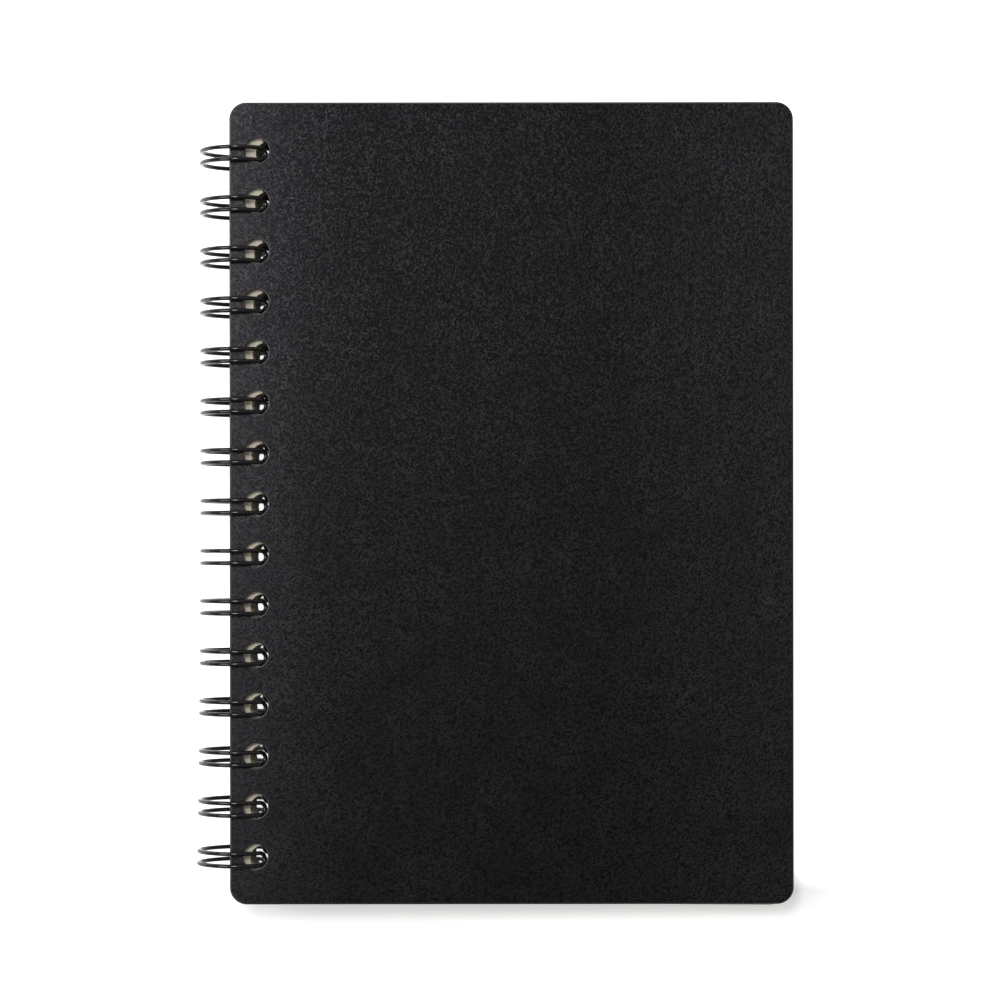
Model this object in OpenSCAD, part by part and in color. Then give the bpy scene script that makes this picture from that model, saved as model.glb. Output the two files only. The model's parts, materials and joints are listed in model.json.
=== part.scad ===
// Twin-loop wire notebook, lying closed on its back cover, in millimetres.
// X runs from the wire to the fore edge, Y from foot to head, Z is up.
// The wire rests on the table, and so does the far edge of the back cover.

/* [Covers] */
// width of each cover, from the edge at the wire to the fore edge
cover_w = 142; // [90:0.5:220]
// length of each cover, foot to head
cover_l = 202; // [195:0.5:300]
// thickness of the cover card
cover_t = 0.6; // [0.4:0.05:0.8]
// radius of the four rounded corners
corner_r = 4.3; // [1:0.1:12]
// paper left between a cover's edge and its holes
cover_margin = 3.6; // [2.5:0.1:3.8]

/* [Pages] */
// width of a page
page_w = 137.5; // [85:0.5:215]
// length of a page
page_l = 199; // [188:0.5:296]
// thickness of the whole block of pages
block_t = 10.5; // [7:0.1:10.8]
// paper left between a page's edge and its holes
page_margin = 2.6; // [2:0.1:3]
// radius of the pages' rounded corners
page_corner_r = 4; // [1:0.1:12]

/* [Wire] */
// number of loops
loops = 15; // [5:1:15]
// distance from one loop to the next: two loops to the inch
pitch = 12.7; // [12:0.1:14]
// thickness of the coated wire
wire_d = 1.0; // [0.7:0.05:1.1]
// outer diameter of the loops
loop_od = 19; // [18.9:0.05:19.6]
// distance between the two wires of a loop, centre to centre
twin_gap = 3.4; // [3:0.1:3.5]
// radius of the bend where a wire turns into the spine
root_bend_r = 2.4; // [2.2:0.1:2.6]
// length of the cut end at the last loop
cut_end = 1.2; // [0.5:0.1:3]

/* [Fits] */
// diameter of the punched holes
hole_d = 6.5; // [6.5:0.1:7]
// how far the front cover's edge lies left of the loops' middle
front_overhang = 1.6; // [1.4:0.05:1.9]
// how far the back cover sits towards the fore edge, past the front cover
back_shift = 0.3; // [0.2:0.1:0.5]
// how far the holes of the pages lie right of the front cover's holes
page_shift = 2.3; // [1.8:0.1:2.6]
// how far wire and back cover lie towards the foot, in the front cover's holes
hang = 0.85; // [0:0.05:0.9]
// how far the pages ride up towards the head on the wire
page_lift = 0.2; // [0:0.05:0.25]
// air between the wire's spine and the front cover over it
spine_air = 0.15; // [0.15:0.01:0.3]
// air between the wire's spine and the first page under it
page_air = 0.45; // [0.35:0.05:0.6]
// air between two sheets that lie on each other
sheet_air = 0.06; // [0.04:0.01:0.15]
// air between the loop tips and the bends that they nest in
tip_air = 0.08; // [0.05:0.01:0.2]

/* [Hidden] */
loop_r = (loop_od - wire_d) / 2;
wire_r = wire_d / 2;
twin_half = twin_gap / 2;
hole_r = hole_d / 2;

// where two pieces of wire meet: the hair between them, and the ball that joins them
seam_gap = 0.02;
ball_rise = 0.02;

// places round the loop, as angles from the +X side towards +Z
root_angle = 26.8;
nest_width = twin_half + root_bend_r;
nest_reach = nest_width + wire_d + tip_air;
tip_angle = root_angle + sqrt(nest_reach * nest_reach - nest_width * nest_width) / loop_r * 180 / PI;

// the spine: the straight wire between neighbouring loops
spine_z = loop_r * sin(root_angle) + root_bend_r * cos(root_angle);
spine_len = pitch - 2 * nest_width;

// heights, measured from the middle of the loops
front_under = spine_z + wire_r + spine_air;
page_top = spine_z - wire_r - page_air;
page_bottom = page_top - block_t;
back_top = page_bottom - sheet_air;
back_under = back_top - cover_t;

// places across the notebook, measured from the middle of the loops
front_left = -front_overhang;
front_hole_x = front_left + cover_margin + hole_r;
back_left = front_left + back_shift;
back_hole_x = front_hole_x + back_shift;
page_hole_x = front_hole_x + page_shift;
page_left = page_hole_x - hole_r - page_margin;
page_right = page_left + page_w;
back_right = back_left + cover_w;

// the front cover leans on the wire and on the far edge of the pages
lean_reach = sqrt(front_under * front_under + page_right * page_right);
front_lean = acos((page_top + sheet_air) / lean_reach) - atan2(page_right, front_under);

// the whole notebook leans too: loops on the table, far edge on the table
rest_reach = sqrt(back_under * back_under + back_right * back_right);
rest_lean = asin(loop_od / 2 / rest_reach) - atan2(-back_under, back_right);
far_x = back_right * cos(rest_lean) + back_top * sin(rest_lean);
middle_x = (far_x - loop_od / 2) / 2;

// from the middle of the loops to where the notebook lies on the table
module lying() {
    translate([-middle_x, 0, loop_od / 2])
        rotate([0, rest_lean, 0])
            children();
}

// one copy for each loop, along the notebook
module at_each_loop() {
    for (i = [0 : loops - 1])
        translate([0, (i - (loops - 1) / 2) * pitch, 0])
            children();
}

// flat sheet with rounded corners; its near edge is at x = 0
module sheet(w, l, t, r) {
    linear_extrude(height = t)
        union() {
            translate([r, -l / 2])
                square([w - 2 * r, l]);
            translate([0, r - l / 2])
                square([w, l - 2 * r]);
            for (x = [r, w - r], y = [r - l / 2, l / 2 - r])
                translate([x, y])
                    circle(r = r, $fn = 64);
        }
}

// the row of holes for the wire, through a sheet of thickness t
module hole_row(t) {
    at_each_loop()
        translate([0, 0, -1])
            cylinder(r = hole_r, h = t + 2, $fn = 64);
}

// sheet of card with its row of holes, hole_x from its near edge
module punched_sheet(w, l, t, r, hole_x) {
    difference() {
        sheet(w, l, t, r);
        translate([hole_x, 0, 0])
            hole_row(t);
    }
}

// piece of round wire bent to an arc about the Z axis, its two ends a hair short
module bend(radius, from, sweep) {
    short = seam_gap / radius * 180 / PI;
    rotate([0, 0, from + short])
        rotate_extrude(angle = sweep - 2 * short, $fn = 96)
            translate([radius, 0])
                circle(r = wire_r, $fn = 32);
}

// joins two pieces of wire that end here, its poles turned away from both
module joint_ball() {
    rotate([40, 25, 0])
        sphere(r = wire_r + ball_rise, $fn = 32);
}

// carries a flat bend onto the loop at an angle, its +X pointing back down the loop
module on_loop(angle) {
    rotate([0, -angle, 0])
        translate([loop_r, 0, 0])
            rotate([0, 90, 0])
                children();
}

// one wire of a loop, from its root all the way round to its tip
module loop_side(side) {
    translate([0, side * twin_half, 0])
        rotate([90, 0, 0])
            bend(loop_r, tip_angle, 360 - (tip_angle - root_angle));
}

// the U at the end of a loop, where its two wires are one
module loop_tip() {
    on_loop(tip_angle) {
        bend(twin_half, -90, 180);
        for (side = [-1, 1])
            translate([0, side * twin_half, 0])
                joint_ball();
    }
}

// the bend from a loop's root outwards into the spine
module root_bend(side) {
    on_loop(root_angle) {
        translate([0, side * nest_width, 0])
            bend(root_bend_r, side > 0 ? 180 : 90, 90);
        translate([0, side * twin_half, 0])
            joint_ball();
        translate([-root_bend_r, side * nest_width, 0])
            joint_ball();
    }
}

// straight wire along the notebook, starting outside a root bend
module spine(side, length) {
    on_loop(root_angle)
        translate([-root_bend_r, side * (nest_width + seam_gap), 0])
            rotate([-side * 90, 0, 0])
                cylinder(r = wire_r, h = length - 2 * seam_gap, $fn = 32);
}

module front_cover() {
    color([0.17, 0.17, 0.175])
        lying()
            rotate([0, front_lean, 0])
                translate([front_left, 0, front_under])
                    punched_sheet(cover_w, cover_l, cover_t, corner_r, front_hole_x - front_left);
}

module back_cover() {
    color([0.15, 0.15, 0.155])
        lying()
            translate([back_left, -hang, back_under])
                punched_sheet(cover_w, cover_l, cover_t, corner_r, back_hole_x - back_left);
}

module page_block() {
    color([0.88, 0.84, 0.76])
        lying()
            translate([page_left, page_lift - hang, page_bottom])
                punched_sheet(page_w, page_l, block_t, page_corner_r, page_hole_x - page_left);
}

// one length of wire: loops, tips, and the spine that joins them
module twin_loop_wire() {
    color([0.03, 0.03, 0.03])
        lying()
            translate([0, -hang, 0])
                union() {
                    at_each_loop() {
                        loop_side(-1);
                        loop_side(1);
                        loop_tip();
                        root_bend(-1);
                        root_bend(1);
                    }
                    for (i = [0 : loops - 2])
                        translate([0, (i - (loops - 1) / 2) * pitch, 0])
                            spine(1, spine_len);
                    for (side = [-1, 1])
                        translate([0, side * (loops - 1) / 2 * pitch, 0])
                            spine(side, cut_end);
                }
}

front_cover();
page_block();
back_cover();
twin_loop_wire();
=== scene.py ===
"""Looks of a wire-bound notebook: card covers, cream pages, black twin-loop wire and a white studio.

Everything is in metres. The sheets are first laid out level around the middle of the wire's loops,
with X across the covers, Y towards their head and Z out of the front cover. Then they are tilted to
where the notebook lies, on its loops and on the far edge of its back cover.
"""

import json
import math
import random

import bmesh
import bpy
from mathutils import Matrix, Vector


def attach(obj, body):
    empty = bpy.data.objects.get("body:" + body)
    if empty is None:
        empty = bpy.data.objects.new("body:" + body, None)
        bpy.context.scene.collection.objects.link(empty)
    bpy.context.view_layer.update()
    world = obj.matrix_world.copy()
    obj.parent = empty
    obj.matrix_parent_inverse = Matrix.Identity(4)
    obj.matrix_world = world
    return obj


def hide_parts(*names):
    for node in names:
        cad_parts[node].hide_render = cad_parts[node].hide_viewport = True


bl_info = {
    "name": "Wire-bound notebook",
    "version": (1, 0, 0),
    "blender": (4, 5, 0),
    "location": "3D View > Sidebar > Notebook",
    "description": "Builds the covers, pages, wire and studio of a wire-bound notebook",
    "category": "Object",
}

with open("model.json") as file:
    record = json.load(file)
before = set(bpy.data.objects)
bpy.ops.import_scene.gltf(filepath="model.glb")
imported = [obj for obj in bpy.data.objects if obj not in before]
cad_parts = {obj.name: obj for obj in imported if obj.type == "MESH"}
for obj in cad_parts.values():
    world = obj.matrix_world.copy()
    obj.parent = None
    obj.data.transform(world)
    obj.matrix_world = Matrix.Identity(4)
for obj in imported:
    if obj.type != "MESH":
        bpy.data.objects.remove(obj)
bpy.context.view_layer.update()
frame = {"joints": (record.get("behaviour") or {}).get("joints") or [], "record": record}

LOOPS_MIDDLE = Vector(frame["joints"][0]["pos_m"])
REST_NORMAL = Vector(frame["record"]["mounts"][0]["axis"])
REST_LEAN = math.atan2(-REST_NORMAL.x, -REST_NORMAL.z)


def metres(name, description, default, **more):
    """A setting that is a length."""
    return bpy.props.FloatProperty(
        name=name, description=description, default=default, unit="LENGTH", **more
    )


def degrees(name, description, default):
    """A setting kept in radians, its default given in degrees."""
    return bpy.props.FloatProperty(
        name=name, description=description, default=math.radians(default), subtype="ANGLE"
    )


def watts(name, description, default):
    """A setting that is a lamp's power."""
    return bpy.props.FloatProperty(
        name=name, description=description, default=default, subtype="POWER"
    )


def colour(name, description, default):
    """A colour in linear light."""
    return bpy.props.FloatVectorProperty(
        name=name, description=description, default=default, subtype="COLOR", size=3
    )


class NotebookSizes(bpy.types.PropertyGroup):
    """Real sizes of the sheets and the wire"""

    cover_width: metres("Cover width", "From the edge at the wire to the fore edge", 0.142)
    cover_length: metres("Cover length", "From foot to head", 0.202)
    cover_thickness: metres("Card thickness", "Thickness of one cover", 0.0006)
    cover_corner: metres("Cover corner", "Radius of the covers' corners", 0.0043)
    cover_margin: metres("Cover margin", "Card between a cover's edge and its holes", 0.00351)
    page_width: metres("Page width", "Width of a page", 0.1375)
    page_length: metres("Page length", "Length of a page", 0.199)
    page_corner: metres("Page corner", "Radius of the pages' corners", 0.004)
    page_margin: metres("Page margin", "Paper between a page's edge and its holes", 0.0026)
    block_thickness: metres("Block thickness", "Thickness of all pages together", 0.0105)
    sheets: bpy.props.IntProperty(
        name="Sheets", description="Number of sheets whose edges show", default=95, min=2
    )
    sheet_stray: metres(
        "Sheet stray", "How far a sheet may lie out of line with the block", 0.00006, precision=5
    )
    cover_hole: metres("Cover hole", "Diameter of the holes in the covers", 0.00628)
    page_hole: metres("Page hole", "Diameter of the holes in the pages", 0.0065)
    punch_turn: degrees("Punch turn", "How far the front cover's row of holes turns from its edge", 0.16)
    back_punch: metres("Back punch", "How much further in the back cover's holes lie", 0.0007)
    loops: bpy.props.IntProperty(name="Loops", description="Number of twin loops", default=15, min=2)
    pitch: metres("Pitch", "From one loop to the next", 0.0127)
    wire: metres("Wire", "Thickness of the coated wire", 0.0011)
    loop_diameter: metres("Loop diameter", "Outer diameter of the loops", 0.019)
    twin_gap: metres("Twin gap", "Between the two wires of a loop, centre to centre", 0.0031)
    root_bend: metres("Root bend", "Radius of the bend into the spine", 0.0024)
    cut_end: metres("Cut end", "Straight wire past the last loop", 0.0012)


class NotebookFits(bpy.types.PropertyGroup):
    """How the pieces lie against each other"""

    front_overhang: metres("Front overhang", "Front cover's edge, left of the loops' middle", 0.0016)
    back_shift: metres("Back shift", "Back cover past the front cover, towards the fore edge", 0.0003)
    page_shift: metres("Page shift", "Holes of the last page right of the front cover's holes", 0.0027)
    hang: metres("Hang", "Wire and back cover towards the foot, in the front cover's holes", 0.00079)
    page_lift: metres("Page lift", "Pages towards the head on the wire", 0.0002)
    spine_air: metres("Air over the spine", "Spine to front cover", 0.0001)
    page_air: metres("Air under the spine", "Spine to first page", 0.0004)
    sheet_air: metres("Air between sheets", "Pages to covers", 0.00006)
    tip_air: metres("Air at the tips", "Loop tips to the bends beside them", 0.00008)
    root_angle: degrees(
        "Root angle", "Place of the loops' roots, from the fore edge's side upwards", 26.8
    )
    page_skew: degrees("Page skew", "Turn of the pages in the covers' holes, seen from above", -0.52)
    page_slant: metres("Page slant", "How far the first page lies left of the last one", 0.00035)
    page_sag: metres(
        "Page sag", "How much further left the first page's holes lie in the middle of the row", 0.0005
    )
    loop_spread: metres("Loop spread", "How far the loops stand out wider than round", 0.0004)
    bow: metres("Bow", "How far the wire's foot end bends out to the left", 0.0009)
    bow_start: bpy.props.FloatProperty(
        name="Bow start",
        description="Where the bow begins, as a share of the loops from the foot up",
        default=0.57,
        min=0.05,
        max=1.0,
    )


class NotebookColours(bpy.types.PropertyGroup):
    """Colours of the pieces, in linear light"""

    card: colour("Card", "Cover card", (0.0012, 0.0012, 0.0013))
    card_fleck: colour("Card fleck", "Raised grain of the card", (0.005, 0.005, 0.0052))
    card_edge: colour("Card edge", "Cut edge of the card", (0.004, 0.004, 0.004))
    paper: colour("Paper", "Cream page", (0.70, 0.64, 0.53))
    paper_edge: colour("Paper edge", "Shade between sheets", (0.46, 0.40, 0.31))
    enamel: colour("Enamel", "Coating of the wire", (0.004, 0.004, 0.004))


class StudioSettings(bpy.types.PropertyGroup):
    """Camera, floor and lamps"""

    camera_height: metres("Camera height", "Above the front cover", 0.6551)
    foot_across: metres(
        "Foot across", "From the front cover's near edge to the point under the camera", 0.07087
    )
    foot_along: metres("Foot along", "Point under the camera, past the cover's middle", -0.0129)
    lens: bpy.props.FloatProperty(
        name="Lens", description="Focal length in millimetres", default=93.67, subtype="DISTANCE_CAMERA"
    )
    shift_x: bpy.props.FloatProperty(name="Shift X", description="Camera shift", default=-0.0110)
    shift_y: bpy.props.FloatProperty(name="Shift Y", description="Camera shift", default=0.0544)
    roll: degrees("Roll", "Turn of the camera", -0.06)
    side_power: watts("Side power", "Large soft lamp on the wire's side", 4.5)
    head_power: watts("Head power", "Smaller lamp high over the head of the covers", 4.4)
    floor_lift: bpy.props.FloatProperty(
        name="Floor lift",
        description="White that the camera sees on the floor besides its light",
        default=0.9,
    )
    foot_lift: bpy.props.FloatProperty(
        name="Lift at the foot", description="The same in front of the notebook's foot", default=0.33
    )


class Layout:
    """Heights and places of the level sheets, measured from the middle of the loops."""

    def __init__(self, sizes, fits):
        self.loop_radius = (sizes.loop_diameter - sizes.wire) / 2
        self.wire_radius = sizes.wire / 2
        self.twin_half = sizes.twin_gap / 2
        self.cover_hole_radius = sizes.cover_hole / 2
        self.page_hole_radius = sizes.page_hole / 2
        self.nest_width = self.twin_half + sizes.root_bend
        nest_reach = self.nest_width + sizes.wire + fits.tip_air
        tip_rise = math.sqrt(nest_reach**2 - self.nest_width**2)
        self.root_angle = fits.root_angle
        self.tip_angle = fits.root_angle + tip_rise / self.loop_radius

        spine_height = self.loop_radius * math.sin(self.root_angle)
        spine_height += sizes.root_bend * math.cos(self.root_angle)
        self.front_under = spine_height + self.wire_radius + fits.spine_air
        self.page_top = spine_height - self.wire_radius - fits.page_air
        self.page_bottom = self.page_top - sizes.block_thickness
        self.back_under = self.page_bottom - fits.sheet_air - sizes.cover_thickness

        self.cover_hole_inset = sizes.cover_margin + self.cover_hole_radius
        self.page_hole_inset = sizes.page_margin + self.page_hole_radius
        self.front_left = -fits.front_overhang
        self.back_left = self.front_left + fits.back_shift
        page_hole = self.front_left + self.cover_hole_inset + fits.page_shift
        self.page_left = page_hole - self.page_hole_inset
        page_right = self.page_left + sizes.page_width

        lean_reach = math.hypot(self.front_under, page_right)
        self.front_lean = math.acos((self.page_top + fits.sheet_air) / lean_reach)
        self.front_lean -= math.atan2(page_right, self.front_under)

        self.lying = Matrix.Translation(LOOPS_MIDDLE) @ Matrix.Rotation(REST_LEAN, 4, "Y")
        self.leaning = self.lying @ Matrix.Rotation(self.front_lean, 4, "Y")
        self.hanging = self.lying @ Matrix.Translation((0, -fits.hang, 0))
        self.skewed = self.hanging @ Matrix.Translation((0, fits.page_lift, 0))
        self.skewed @= Matrix.Rotation(fits.page_skew, 4, "Z")


def layout(context):
    """The layout that the scene's present sizes give."""
    return Layout(context.scene.notebook_sizes, context.scene.notebook_fits)


def loop_places(sizes):
    """Places of the loops along the notebook, from the foot up."""
    return [(i - (sizes.loops - 1) / 2) * sizes.pitch for i in range(sizes.loops)]


# Sheets: outlines are lists of (x, y, outward x, outward y)

COVER_CORNER_STEPS = 16
COVER_HOLE_STEPS = 48
PAGE_CORNER_STEPS = 8
PAGE_HOLE_STEPS = 20
EDGE_DROP = 0.00022
EDGE_WIDTH = 0.00040
HOLE_DROP = 0.00020
HOLE_WIDTH = 0.00030
EDGE_STEPS = 5
STRAY_SEED = 7


def sheet_outline(width, length, radius, steps):
    """Rounded rectangle with its near edge at x = 0."""
    reach_y = length / 2 - radius
    far_x = width - radius
    centres = [(far_x, reach_y), (radius, reach_y), (radius, -reach_y), (far_x, -reach_y)]
    outline = []
    for quarter, (x, y) in enumerate(centres):
        for step in range(steps + 1):
            angle = math.pi / 2 * (quarter + step / steps)
            out_x, out_y = math.cos(angle), math.sin(angle)
            outline.append((x + radius * out_x, y + radius * out_y, out_x, out_y))
    return outline


def hole_outline(x, y, radius, steps):
    """Round hole; its outward side is its middle."""
    outline = []
    for step in range(steps):
        angle = -2 * math.pi * step / steps
        out_x, out_y = math.cos(angle), math.sin(angle)
        outline.append((x + radius * out_x, y + radius * out_y, -out_x, -out_y))
    return outline


def stack_mesh(name, walls, wall_smooth):
    """Closed mesh of a punched sheet or a stack of sheets.

    walls pairs each outline with its levels, from the top face's rim down to the bottom face's rim.
    A level is (inset, height, shift x, shift y). The walls take the second material.
    """
    bm = bmesh.new()
    rims = []
    for outline, levels in walls:
        rings = []
        for inset, height, shift_x, shift_y in levels:
            rings.append([
                bm.verts.new((x - inset * out_x + shift_x, y - inset * out_y + shift_y, height))
                for x, y, out_x, out_y in outline
            ])
        for upper, lower in zip(rings, rings[1:]):
            for i in range(len(outline)):
                j = (i + 1) % len(outline)
                face = bm.faces.new((upper[i], lower[i], lower[j], upper[j]))
                face.smooth = wall_smooth
                face.material_index = 1
        rims.append((rings[0], rings[-1]))
    for side, normal in ((0, (0, 0, 1)), (1, (0, 0, -1))):
        edges = []
        for rim in rims:
            ring = rim[side]
            edges += [bm.edges.get((ring[i - 1], ring[i])) for i in range(len(ring))]
        bmesh.ops.triangle_fill(bm, use_beauty=True, edges=edges, normal=normal)
    bmesh.ops.recalc_face_normals(bm, faces=bm.faces)
    mesh = bpy.data.meshes.new(name)
    bm.to_mesh(mesh)
    bm.free()
    return mesh


def new_piece(name, mesh, placed, materials, body, node):
    """Puts a finished mesh into the scene, in place of its node of the frame."""
    mesh.transform(placed)
    for material in materials:
        mesh.materials.append(material)
    piece = bpy.data.objects.new(name, mesh)
    bpy.context.scene.collection.objects.link(piece)
    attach(piece, body)
    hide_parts(node)


def card_levels(thickness, drop, width):
    """Profile of a die-cut card edge: rolled over at the top, slightly rounded underneath."""
    angles = [math.pi / 2 * step / EDGE_STEPS for step in range(EDGE_STEPS + 1)]
    low = drop / 2
    rolled = [(width * (1 - math.sin(a)), thickness - drop * (1 - math.cos(a)), 0, 0) for a in angles]
    return rolled + [(low * (1 - math.cos(a)), low * (1 - math.sin(a)), 0, 0) for a in angles]


def cover_mesh(name, sizes, plan, inset, turn):
    """One card cover with its near edge at x = 0, its row of holes inset from there and turned."""
    edge = card_levels(sizes.cover_thickness, EDGE_DROP, EDGE_WIDTH)
    punched = card_levels(sizes.cover_thickness, HOLE_DROP, HOLE_WIDTH)
    width, length = sizes.cover_width, sizes.cover_length
    walls = [(sheet_outline(width, length, sizes.cover_corner, COVER_CORNER_STEPS), edge)]
    for y in loop_places(sizes):
        x = inset + y * math.tan(turn)
        walls.append((hole_outline(x, y, plan.cover_hole_radius, COVER_HOLE_STEPS), punched))
    return stack_mesh(name, walls, wall_smooth=True)


def page_levels(sizes, slant):
    """Profile of the block: each sheet is a step of its own, further left the higher it lies."""
    stray = random.Random(STRAY_SEED)
    thickness = sizes.block_thickness / sizes.sheets
    levels = []
    for sheet in range(sizes.sheets):
        top = sizes.block_thickness - sheet * thickness
        inset = sizes.sheet_stray * stray.uniform(0, 1)
        shift_x = sizes.sheet_stray * stray.uniform(-1, 1) - slant * (1 - sheet / sizes.sheets)
        shift_y = sizes.sheet_stray * stray.uniform(-1, 1)
        levels.append((inset, top, shift_x, shift_y))
        levels.append((inset, top - thickness, shift_x, shift_y))
    return levels


def pages_mesh(name, sizes, fits, plan):
    """The whole block of punched sheets, its near edge at x = 0."""
    outline = sheet_outline(sizes.page_width, sizes.page_length, sizes.page_corner, PAGE_CORNER_STEPS)
    walls = [(outline, page_levels(sizes, fits.page_slant))]
    places = loop_places(sizes)
    for y in places:
        slant = fits.page_slant + fits.page_sag * (1 - (y / places[-1])**2)
        hole = hole_outline(plan.page_hole_inset, y, plan.page_hole_radius, PAGE_HOLE_STEPS)
        walls.append((hole, page_levels(sizes, slant)))
    return stack_mesh(name, walls, wall_smooth=False)


# The wire: its centre line is one list of points, and a tube is swept along it

ROOT_STEPS = 8
ROUND_STEPS = 72
TIP_STEPS = 14
TUBE_SIDES = 16
BURR_SHARE = 0.25

# The loops' oval. Inner is the side towards the pages, outer the side past the covers' edge; how much
# of the spread and the bow each side takes goes by the height above the loops' middle
INNER_SPREAD = 1.1
INNER_RISE = 2
INNER_BOW = 0.45
OUTER_FALL = 1.6


def arc(middle, first, second, radius, start, end, steps):
    """Points of an arc in the plane of two directions, angles measured from the first."""
    points = []
    for step in range(steps + 1):
        angle = start + (end - start) * step / steps
        points.append(middle + radius * (math.cos(angle) * first + math.sin(angle) * second))
    return points


def bowed(point, sizes, fits, plan):
    """A point of the round wire, spread to the loops' oval and bowed out to the left at the foot end."""
    places = loop_places(sizes)
    start = places[0] + fits.bow_start * (places[-1] - places[0])
    share = max(0.0, (start - point.y) / (start - places[0]))
    shift = fits.bow * share**2
    spread = fits.loop_spread * point.x / plan.loop_radius
    height = point.z / plan.loop_radius
    if point.x > 0:
        spread *= INNER_SPREAD * min(1.0, max(0.0, INNER_RISE * height))
        shift *= INNER_BOW
    else:
        bulge = max(0.0, 1 - OUTER_FALL * height**2)
        spread *= bulge
        shift *= INNER_BOW + (1 - INNER_BOW) * bulge
    return point + Vector((spread - shift, 0, 0))


def wire_line(sizes, fits, plan):
    """Centre line of the whole wire: in at each root, round the loop, through its tip and back."""
    across, along, up = Vector((1, 0, 0)), Vector((0, 1, 0)), Vector((0, 0, 1))

    def on_loop(angle):
        return plan.loop_radius * (math.cos(angle) * across + math.sin(angle) * up)

    def upwards(angle):
        return -math.sin(angle) * across + math.cos(angle) * up

    root, tip = plan.root_angle, plan.tip_angle
    rise = upwards(root)
    round_start, round_end = root + 2 * math.pi, tip
    line = []
    places = loop_places(sizes)
    first = places[0] - plan.nest_width - sizes.cut_end
    line.append(on_loop(root) + sizes.root_bend * rise + first * along)
    for y in places:
        here = y * along
        near = here - plan.nest_width * along + on_loop(root)
        far = here + plan.nest_width * along + on_loop(root)
        line += arc(near, rise, along, sizes.root_bend, 0, math.pi / 2, ROOT_STEPS)
        low = here - plan.twin_half * along
        line += arc(low, across, up, plan.loop_radius, round_start, round_end, ROUND_STEPS)[1:]
        nest = here + on_loop(tip)
        line += arc(nest, -along, -upwards(tip), plan.twin_half, 0, math.pi, TIP_STEPS)[1:]
        high = here + plan.twin_half * along
        line += arc(high, across, up, plan.loop_radius, round_end, round_start, ROUND_STEPS)[1:]
        line += arc(far, -along, rise, sizes.root_bend, 0, math.pi / 2, ROOT_STEPS)[1:]
    last = places[-1] + plan.nest_width + sizes.cut_end
    line.append(on_loop(root) + sizes.root_bend * rise + last * along)
    return [bowed(point, sizes, fits, plan) for point in line]


def tube_mesh(name, line, radius, sides):
    """Round tube along a line of points, with rounded ends, turning as little as it can."""
    bm = bmesh.new()
    directions = []
    for i in range(len(line)):
        before, after = line[max(i - 1, 0)], line[min(i + 1, len(line) - 1)]
        directions.append((after - before).normalized())
    side = directions[0].orthogonal().normalized()
    rings = []

    def add_ring(point, direction, ring_radius):
        across = direction.cross(side)
        rings.append([
            bm.verts.new(
                point
                + ring_radius * math.cos(2 * math.pi * k / sides) * side
                + ring_radius * math.sin(2 * math.pi * k / sides) * across
            )
            for k in range(sides)
        ])

    burr = radius * BURR_SHARE
    add_ring(line[0], directions[0], radius - burr)
    for i, point in enumerate(line):
        side = (side - side.dot(directions[i]) * directions[i]).normalized()
        if i == 0:
            point = point + burr * directions[0]
        if i == len(line) - 1:
            point = point - burr * directions[-1]
        add_ring(point, directions[i], radius)
    add_ring(line[-1], directions[-1], radius - burr)
    for one, two in zip(rings, rings[1:]):
        for k in range(sides):
            n = (k + 1) % sides
            bm.faces.new((one[k], one[n], two[n], two[k])).smooth = True
    bm.faces.new(list(reversed(rings[0])))
    bm.faces.new(rings[-1])
    bmesh.ops.recalc_face_normals(bm, faces=bm.faces)
    mesh = bpy.data.meshes.new(name)
    bm.to_mesh(mesh)
    bm.free()
    return mesh


# Materials. Scales of noise are in grains to the metre, distances of bumps in metres

CREASE_TURNS = (0.45, 1.5, 2.55)
CREASE_STRETCH = (1.0, 2.8, 1.0)
CREASE_SCALE = 2700
GRAIN_SCALE = 5200
CARD_CLOUD_SCALE = 90
# Across the covers: how far from the edge at the wire the grain is made shallower and a sheen is painted,
# and where the painted sheen of the fore side grows
SMOOTHING_AND_SHEEN_WIDTH = 0.045
FORE_SHEEN_START = 0.028
FORE_SHEEN_END = 0.075
CARD_TINT = (0.94, 0.91, 1.0, 1)
CARD_FIBRE_STRETCH = (1.0, 1.0, 0.2)
CARD_FIBRE_SCALE = 2600

PAPER_CLOUD_SCALE = 260
PAPER_FIBRE_TURN = 0.7
PAPER_FIBRE_STRETCH = (1.0, 4.0, 1.0)
PAPER_FIBRE_SCALE = 3800
SHEET_BAND_STRETCH = (50, 50, 1.0)
SHEET_BAND_SCALE = 9000
WIDE_BAND_STRETCH = (30, 30, 1.0)
WIDE_BAND_SCALE = 1100

ENAMEL_WAVE_SCALE = 900
ENAMEL_SPECK_SCALE = 6000
ENAMEL_SPECK_GAIN = 3

FLOOR_WHITE = (0.86, 0.86, 0.86, 1)
# Along the notebook: where the foot's lift ends, and where the full lift starts
FOOT_LIFT_END = -0.099
FULL_LIFT_START = -0.093


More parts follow.
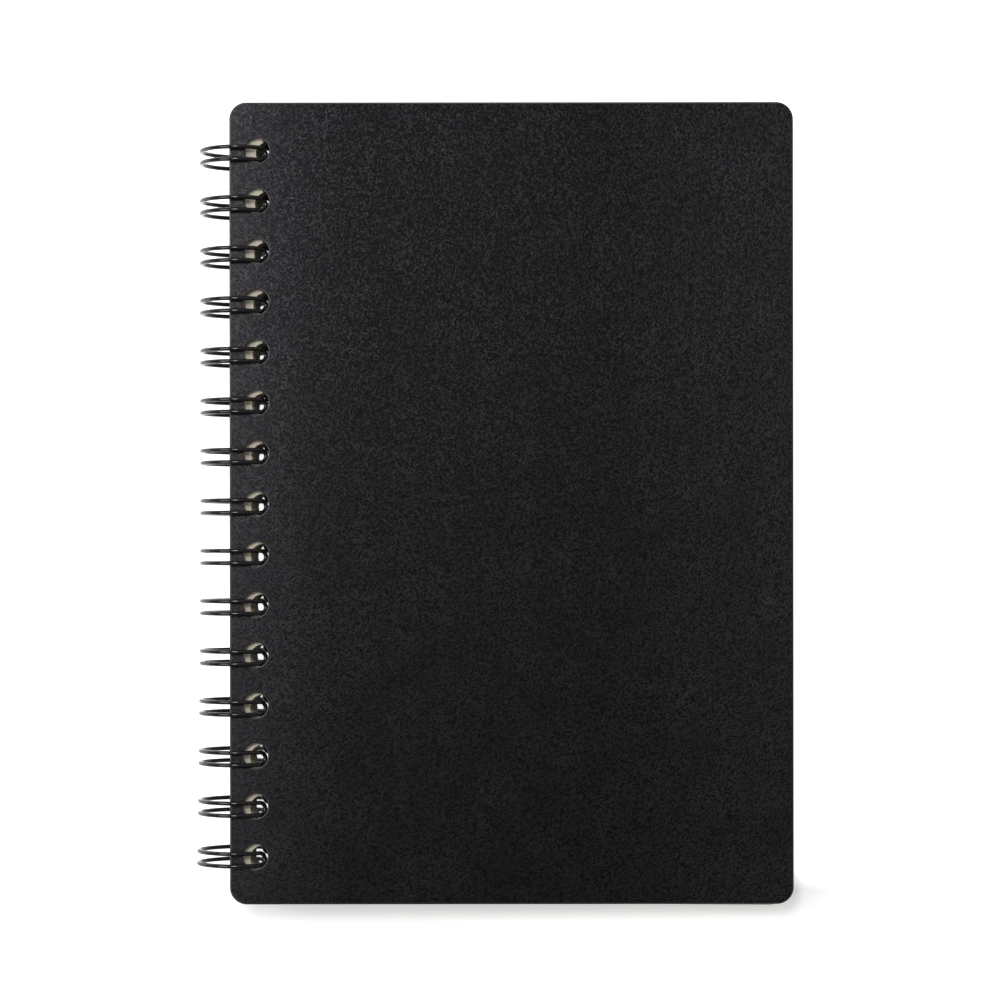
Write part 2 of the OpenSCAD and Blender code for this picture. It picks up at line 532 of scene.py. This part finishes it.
class Tree:
    """Short ways to add and join the nodes of a material or of the world."""

    def __init__(self, tree):
        self.tree = tree

    def add(self, kind, **settings):
        node = self.tree.nodes.new(kind)
        for key, value in settings.items():
            setattr(node, key, value)
        return node

    def give(self, socket, value):
        """Gives a socket another node's output, a number or a colour."""
        if isinstance(value, bpy.types.NodeSocket):
            self.tree.links.new(value, socket)
        else:
            socket.default_value = value

    def part(self, space, axis):
        """One of the three numbers of a place."""
        place = self.add("ShaderNodeTexCoord")
        parts = self.add("ShaderNodeSeparateXYZ")
        self.give(parts.inputs["Vector"], place.outputs[space])
        return parts.outputs[axis]

    def spread(self, value, low, high, to_low=0.0, to_high=1.0):
        """Value mapped from one range to another, cut off at both ends."""
        node = self.add("ShaderNodeMapRange")
        self.give(node.inputs["Value"], value)
        self.give(node.inputs["From Min"], low)
        self.give(node.inputs["From Max"], high)
        self.give(node.inputs["To Min"], to_low)
        self.give(node.inputs["To Max"], to_high)
        return node.outputs["Result"]

    def math(self, operation, first, second):
        node = self.add("ShaderNodeMath", operation=operation)
        self.give(node.inputs[0], first)
        self.give(node.inputs[1], second)
        return node.outputs["Value"]


class Nodes(Tree):
    """The nodes of one new material."""

    def __init__(self, name):
        self.material = bpy.data.materials.new(name)
        self.material.use_nodes = True
        super().__init__(self.material.node_tree)
        self.shader = self.tree.nodes["Principled BSDF"]
        self.output = self.tree.nodes["Material Output"]

    def shade(self, name, value):
        """Gives one of the shader's inputs its value."""
        self.give(self.shader.inputs[name], value)

    def object_place(self, turn=0.0, stretch=(1.0, 1.0, 1.0), tilt=0.0):
        """The object's own coordinates, turned in the sheet's plane and stretched."""
        place = self.add("ShaderNodeTexCoord")
        mapping = self.add("ShaderNodeMapping", vector_type="TEXTURE")
        self.give(mapping.inputs["Rotation"], (0, tilt, turn))
        self.give(mapping.inputs["Scale"], stretch)
        self.give(mapping.inputs["Vector"], place.outputs["Object"])
        return mapping.outputs["Vector"]

    def noise(self, place, scale, detail=2.0, roughness=0.5, distortion=0.0):
        node = self.add("ShaderNodeTexNoise")
        self.give(node.inputs["Vector"], place)
        self.give(node.inputs["Scale"], scale)
        self.give(node.inputs["Detail"], detail)
        self.give(node.inputs["Roughness"], roughness)
        self.give(node.inputs["Distortion"], distortion)
        return node.outputs["Fac"]

    def colours(self, share, first, second):
        node = self.add("ShaderNodeMix", data_type="RGBA")
        self.give(node.inputs["Factor"], share)
        self.give(node.inputs["A"], (*first, 1))
        self.give(node.inputs["B"], (*second, 1))
        return node.outputs["Result"]

    def bump(self, height, strength, distance):
        node = self.add("ShaderNodeBump")
        self.give(node.inputs["Strength"], strength)
        self.give(node.inputs["Distance"], distance)
        self.give(node.inputs["Height"], height)
        self.shade("Normal", node.outputs["Normal"])


def card_material(colours, plan):
    """Black card embossed with a fine leathery grain of short creases that lie every way.

    Towards the wire the grain is shallower, and a painted sheen (a stronger specular) stands in for light
    there; the fore edge's side has a weaker painted sheen of the same kind.
    """
    nodes = Nodes("cover_card")
    creases = None
    for turn in CREASE_TURNS:
        place = nodes.object_place(turn, CREASE_STRETCH)
        crease = nodes.noise(place, CREASE_SCALE, detail=1.0, roughness=0.5, distortion=0.4)
        crease = nodes.spread(crease, low=0.50, high=0.66)
        creases = crease if creases is None else nodes.math("MAXIMUM", creases, crease)
    fine = nodes.noise(nodes.object_place(), GRAIN_SCALE, detail=2.0)
    cloud = nodes.noise(nodes.object_place(), CARD_CLOUD_SCALE, detail=3.0)

    edge = plan.lying.translation.x + plan.front_left
    across = nodes.part("Object", "X")
    # Share that grows towards the wire: it makes the grain shallower and paints a sheen there
    smoothing_and_sheen = nodes.spread(across, edge, edge + SMOOTHING_AND_SHEEN_WIDTH, to_low=1.0, to_high=0.0)
    smoothing_and_sheen = nodes.math("POWER", smoothing_and_sheen, 3.0)
    clouded = nodes.spread(cloud, low=0.3, high=0.7, to_low=0.6, to_high=1.0)
    smoothed = nodes.spread(smoothing_and_sheen, low=0.0, high=1.0, to_low=1.0, to_high=0.45)
    grain = nodes.math("MULTIPLY", nodes.math("MULTIPLY", creases, clouded), smoothed)
    height = nodes.math("ADD", grain, nodes.math("MULTIPLY", fine, 0.35))
    share = nodes.spread(height, low=0.1, high=1.2)
    nodes.shade("Base Color", nodes.colours(share, colours.card, colours.card_fleck))
    nodes.shade("Roughness", nodes.spread(height, low=0.0, high=1.3, to_low=0.44, to_high=0.38))

    # Painted sheen: the specular is raised near the wire and towards the fore edge, standing in for light
    # that falls on those sides
    painted_sheen_near_wire = nodes.spread(smoothing_and_sheen, low=0.0, high=1.0, to_low=1.0, to_high=3.2)
    fore = nodes.spread(across, FORE_SHEEN_START, FORE_SHEEN_END, to_low=0.0, to_high=0.8)
    raised = nodes.spread(height, low=0.0, high=1.3, to_low=0.03, to_high=0.195)
    nodes.shade("Specular IOR Level", nodes.math("MULTIPLY", nodes.math("ADD", painted_sheen_near_wire, fore), raised))
    nodes.shade("Specular Tint", CARD_TINT)
    nodes.bump(height, strength=0.6, distance=0.00008)
    return nodes.material


def card_edge_material(colours):
    """Die-cut edge of the same card: dull, darker and fibrous."""
    nodes = Nodes("cover_card_edge")
    fibre = nodes.noise(nodes.object_place(stretch=CARD_FIBRE_STRETCH), CARD_FIBRE_SCALE, detail=3.0)
    share = nodes.spread(fibre, low=0.35, high=0.75)
    nodes.shade("Base Color", nodes.colours(share, colours.card_edge, colours.card))
    nodes.shade("Roughness", nodes.spread(fibre, low=0.2, high=0.8, to_low=0.46, to_high=0.38))
    nodes.shade("Specular IOR Level", 0.6)
    nodes.bump(fibre, strength=0.3, distance=0.00005)
    return nodes.material


def paper_material(colours):
    """Uncoated cream paper with a faint cloudy formation and fibres."""
    nodes = Nodes("page_paper")
    cloud = nodes.noise(nodes.object_place(), PAPER_CLOUD_SCALE, detail=4.0, roughness=0.6)
    fibre_place = nodes.object_place(PAPER_FIBRE_TURN, PAPER_FIBRE_STRETCH)
    fibre = nodes.noise(fibre_place, PAPER_FIBRE_SCALE, detail=2.0)
    clouded = nodes.spread(cloud, low=0.3, high=0.7, to_low=0.0, to_high=0.12)
    fibrous = nodes.spread(fibre, low=0.4, high=0.7, to_low=0.0, to_high=0.08)
    share = nodes.math("ADD", clouded, fibrous)
    nodes.shade("Base Color", nodes.colours(share, colours.paper, colours.paper_edge))
    nodes.shade("Roughness", nodes.spread(fibre, low=0.2, high=0.8, to_low=0.88, to_high=0.78))
    nodes.shade("Specular IOR Level", 0.3)
    nodes.bump(fibre, strength=0.15, distance=0.00003)
    return nodes.material


def paper_edge_material(colours):
    """Cut edges of the sheets: fine bands of painted shade between the sheets that follow the stack, a
    few of them darker.
    """
    nodes = Nodes("page_paper_edge")
    band_place = nodes.object_place(stretch=SHEET_BAND_STRETCH, tilt=REST_LEAN)
    bands = nodes.noise(band_place, SHEET_BAND_SCALE, detail=2.0, roughness=0.7)
    wide_place = nodes.object_place(stretch=WIDE_BAND_STRETCH, tilt=REST_LEAN)
    wide = nodes.noise(wide_place, WIDE_BAND_SCALE, detail=2.0)
    # Painted shade: the fine bands darken the edge towards the shade colour where the sheets meet
    gap_shade = nodes.spread(bands, low=0.35, high=0.75, to_low=0.0, to_high=0.55)
    darker = nodes.spread(wide, low=0.4, high=0.7, to_low=0.0, to_high=0.3)
    share = nodes.math("ADD", gap_shade, darker)
    nodes.shade("Base Color", nodes.colours(share, colours.paper, colours.paper_edge))
    nodes.shade("Roughness", nodes.spread(bands, low=0.2, high=0.8, to_low=0.92, to_high=0.8))
    nodes.shade("Specular IOR Level", 0.2)
    nodes.bump(bands, strength=0.25, distance=0.00004)
    return nodes.material


def enamel_material(colours):
    """Glossy black coating of the wire, with the faint waviness of a dipped coat."""
    nodes = Nodes("wire_coating")
    wave = nodes.noise(nodes.object_place(), ENAMEL_WAVE_SCALE, detail=2.0)
    speck = nodes.noise(nodes.object_place(), ENAMEL_SPECK_SCALE, detail=1.0)
    share = nodes.spread(speck, low=0.55, high=0.8)
    lighter = [ENAMEL_SPECK_GAIN * channel for channel in colours.enamel]
    nodes.shade("Base Color", nodes.colours(share, colours.enamel, lighter))
    nodes.shade("Roughness", nodes.spread(wave, low=0.3, high=0.7, to_low=0.09, to_high=0.16))
    nodes.shade("Specular IOR Level", 0.45)
    nodes.bump(wave, strength=0.12, distance=0.00003)
    return nodes.material


def floor_material(lift, foot_lift):
    """White floor: the camera, glass and metal see it lifted towards white, and shadows stay."""
    nodes = Nodes("studio_floor")
    nodes.shade("Base Color", FLOOR_WHITE)
    nodes.shade("Roughness", 0.95)
    nodes.shade("Specular IOR Level", 0.0)
    rays = nodes.add("ShaderNodeLightPath")
    seen = nodes.math("MAXIMUM", rays.outputs["Is Camera Ray"], rays.outputs["Is Glossy Ray"])
    seen = nodes.math("MAXIMUM", seen, rays.outputs["Is Transmission Ray"])
    along = nodes.part("Object", "Y")
    lifted = nodes.spread(along, FOOT_LIFT_END, FULL_LIFT_START, to_low=foot_lift, to_high=lift)
    glow = nodes.add("ShaderNodeEmission")
    nodes.give(glow.inputs["Strength"], nodes.math("MULTIPLY", seen, lifted))
    both = nodes.add("ShaderNodeAddShader")
    nodes.give(both.inputs[0], nodes.shader.outputs["BSDF"])
    nodes.give(both.inputs[1], glow.outputs["Emission"])
    nodes.give(nodes.output.inputs["Surface"], both.outputs["Shader"])
    return nodes.material


# The studio

FLOOR_REACH = 4.0
FLOOR_DROP = 0.0001
SIDE_LAMP_PLACE = (-0.64, 0.0, 0.77)
SIDE_LAMP_SIZE = (0.80, 0.50)
HEAD_LAMP_PLACE = (-0.14, 0.26, 1.06)
HEAD_LAMP_SIZE = (0.26, 0.24)
# The world's strength on each side, reached where a direction leans that way by WORLD_REACH
WORLD_FOOT = 0.18
WORLD_HEAD = 0.5
WORLD_WIRE_SIDE = 1.1
WORLD_FORE_SIDE = 0.9
WORLD_REACH = 0.3
# Its strength where the camera looks at it
WORLD_SEEN = 1.0


def add_floor(settings):
    """One large level floor just under the notebook."""
    bm = bmesh.new()
    bmesh.ops.create_grid(bm, x_segments=2, y_segments=2, size=FLOOR_REACH)
    mesh = bpy.data.meshes.new("floor")
    bm.to_mesh(mesh)
    bm.free()
    mesh.materials.append(floor_material(settings.floor_lift, settings.foot_lift))
    floor = bpy.data.objects.new("floor", mesh)
    floor.location.z = -FLOOR_DROP
    bpy.context.scene.collection.objects.link(floor)


def add_lamp(name, place, size, power):
    """Soft rectangular lamp that faces the middle of the notebook."""
    lamp = bpy.data.lights.new(name, "AREA")
    lamp.shape = "RECTANGLE"
    lamp.size, lamp.size_y = size
    lamp.energy = power
    holder = bpy.data.objects.new(name, lamp)
    holder.location = place
    holder.rotation_euler = (-Vector(place)).to_track_quat("-Z", "Y").to_euler()
    bpy.context.scene.collection.objects.link(holder)


def add_world():
    """Brighter towards the head and the wire, plain white where the camera looks at it."""
    world = bpy.data.worlds.new("studio")
    world.use_nodes = True
    bpy.context.scene.world = world
    nodes = Tree(world.node_tree)
    along, across = nodes.part("Generated", "Y"), nodes.part("Generated", "X")
    head = nodes.spread(along, -WORLD_REACH, WORLD_REACH, WORLD_FOOT, WORLD_HEAD)
    side = nodes.spread(across, -WORLD_REACH, WORLD_REACH, WORLD_WIRE_SIDE, WORLD_FORE_SIDE)
    rays = nodes.add("ShaderNodeLightPath")
    strength = nodes.add("ShaderNodeMix")
    nodes.give(strength.inputs["Factor"], rays.outputs["Is Camera Ray"])
    nodes.give(strength.inputs["A"], nodes.math("MULTIPLY", head, side))
    nodes.give(strength.inputs["B"], WORLD_SEEN)
    background = world.node_tree.nodes["Background"]
    nodes.give(background.inputs["Color"], (1, 1, 1, 1))
    nodes.give(background.inputs["Strength"], strength.outputs["Result"])


def add_camera(settings, plan, sizes):
    """Camera square above the front cover, turned a little, its view shifted to frame the notebook."""
    data = bpy.data.cameras.new("camera")
    data.lens = settings.lens
    data.shift_x = settings.shift_x
    data.shift_y = settings.shift_y
    camera = bpy.data.objects.new("camera", data)
    height = plan.front_under + sizes.cover_thickness + settings.camera_height
    place = Vector((plan.front_left + settings.foot_across, settings.foot_along, height))
    rolled = Matrix.Rotation(settings.roll, 4, "Z")
    camera.matrix_world = plan.leaning @ Matrix.Translation(place) @ rolled
    bpy.context.scene.collection.objects.link(camera)
    bpy.context.scene.camera = camera


class NOTEBOOK_OT_covers(bpy.types.Operator):
    """Add the front and the back cover"""

    bl_idname = "notebook.covers"
    bl_label = "Covers"

    def execute(self, context):
        sizes, plan = context.scene.notebook_sizes, layout(context)
        colours = context.scene.notebook_colours
        materials = [card_material(colours, plan), card_edge_material(colours)]
        front = plan.leaning @ Matrix.Translation((plan.front_left, 0, plan.front_under))
        mesh = cover_mesh("front_cover_card", sizes, plan, plan.cover_hole_inset, sizes.punch_turn)
        new_piece("front_cover_card", mesh, front, materials, "front_board", "front_cover")
        back = plan.hanging @ Matrix.Translation((plan.back_left, 0, plan.back_under))
        turned = Matrix.Translation((0, 0, sizes.cover_thickness)) @ Matrix.Diagonal((1, 1, -1, 1))
        mesh = cover_mesh("back_cover_card", sizes, plan, plan.cover_hole_inset + sizes.back_punch, 0.0)
        mesh.transform(turned)
        mesh.flip_normals()
        new_piece("back_cover_card", mesh, back, materials, "back_board", "back_cover")
        return {"FINISHED"}


class NOTEBOOK_OT_pages(bpy.types.Operator):
    """Add the block of pages"""

    bl_idname = "notebook.pages"
    bl_label = "Pages"

    def execute(self, context):
        sizes, plan = context.scene.notebook_sizes, layout(context)
        colours = context.scene.notebook_colours
        materials = [paper_material(colours), paper_edge_material(colours)]
        placed = plan.skewed @ Matrix.Translation((plan.page_left, 0, plan.page_bottom))
        mesh = pages_mesh("pages", sizes, context.scene.notebook_fits, plan)
        new_piece("pages", mesh, placed, materials, "bound_pages", "page_block")
        return {"FINISHED"}


class NOTEBOOK_OT_wire(bpy.types.Operator):
    """Add the twin-loop wire"""

    bl_idname = "notebook.wire"
    bl_label = "Wire"

    def execute(self, context):
        sizes, plan = context.scene.notebook_sizes, layout(context)
        line = wire_line(sizes, context.scene.notebook_fits, plan)
        mesh = tube_mesh("coated_wire", line, plan.wire_radius, TUBE_SIDES)
        materials = [enamel_material(context.scene.notebook_colours)]
        placed = plan.hanging
        new_piece("coated_wire", mesh, placed, materials, "bound_pages", "twin_loop_wire")
        return {"FINISHED"}


class NOTEBOOK_OT_studio(bpy.types.Operator):
    """Add the floor, the lamps, the world and the camera"""

    bl_idname = "notebook.studio"
    bl_label = "Studio"

    def execute(self, context):
        settings = context.scene.notebook_studio
        context.scene.view_settings.view_transform = "Standard"
        add_floor(settings)
        add_world()
        add_lamp("side_lamp", SIDE_LAMP_PLACE, SIDE_LAMP_SIZE, settings.side_power)
        add_lamp("head_lamp", HEAD_LAMP_PLACE, HEAD_LAMP_SIZE, settings.head_power)
        add_camera(settings, layout(context), context.scene.notebook_sizes)
        return {"FINISHED"}


class NOTEBOOK_PT_panel(bpy.types.Panel):
    """Steps that build the notebook"""

    bl_label = "Notebook"
    bl_space_type = "VIEW_3D"
    bl_region_type = "UI"
    bl_category = "Notebook"

    def draw(self, context):
        for operator in OPERATORS:
            self.layout.operator(operator.bl_idname)
        for settings in SETTINGS:
            group = getattr(context.scene, settings)
            for name in group.bl_rna.properties.keys():
                if name not in ("rna_type", "name"):
                    self.layout.prop(group, name)


OPERATORS = [NOTEBOOK_OT_covers, NOTEBOOK_OT_pages, NOTEBOOK_OT_wire, NOTEBOOK_OT_studio]
SETTINGS = {
    "notebook_sizes": NotebookSizes,
    "notebook_fits": NotebookFits,
    "notebook_colours": NotebookColours,
    "notebook_studio": StudioSettings,
}
CLASSES = [*SETTINGS.values(), *OPERATORS, NOTEBOOK_PT_panel]


def register():
    for one in CLASSES:
        bpy.utils.register_class(one)
    for name, group in SETTINGS.items():
        setattr(bpy.types.Scene, name, bpy.props.PointerProperty(type=group))


def unregister():
    for name in SETTINGS:
        delattr(bpy.types.Scene, name)
    for one in reversed(CLASSES):
        bpy.utils.unregister_class(one)


def main():
    register()
    bpy.ops.notebook.covers()
    bpy.ops.notebook.pages()
    bpy.ops.notebook.wire()
    bpy.ops.notebook.studio()


if __name__ == "__main__":
    main()
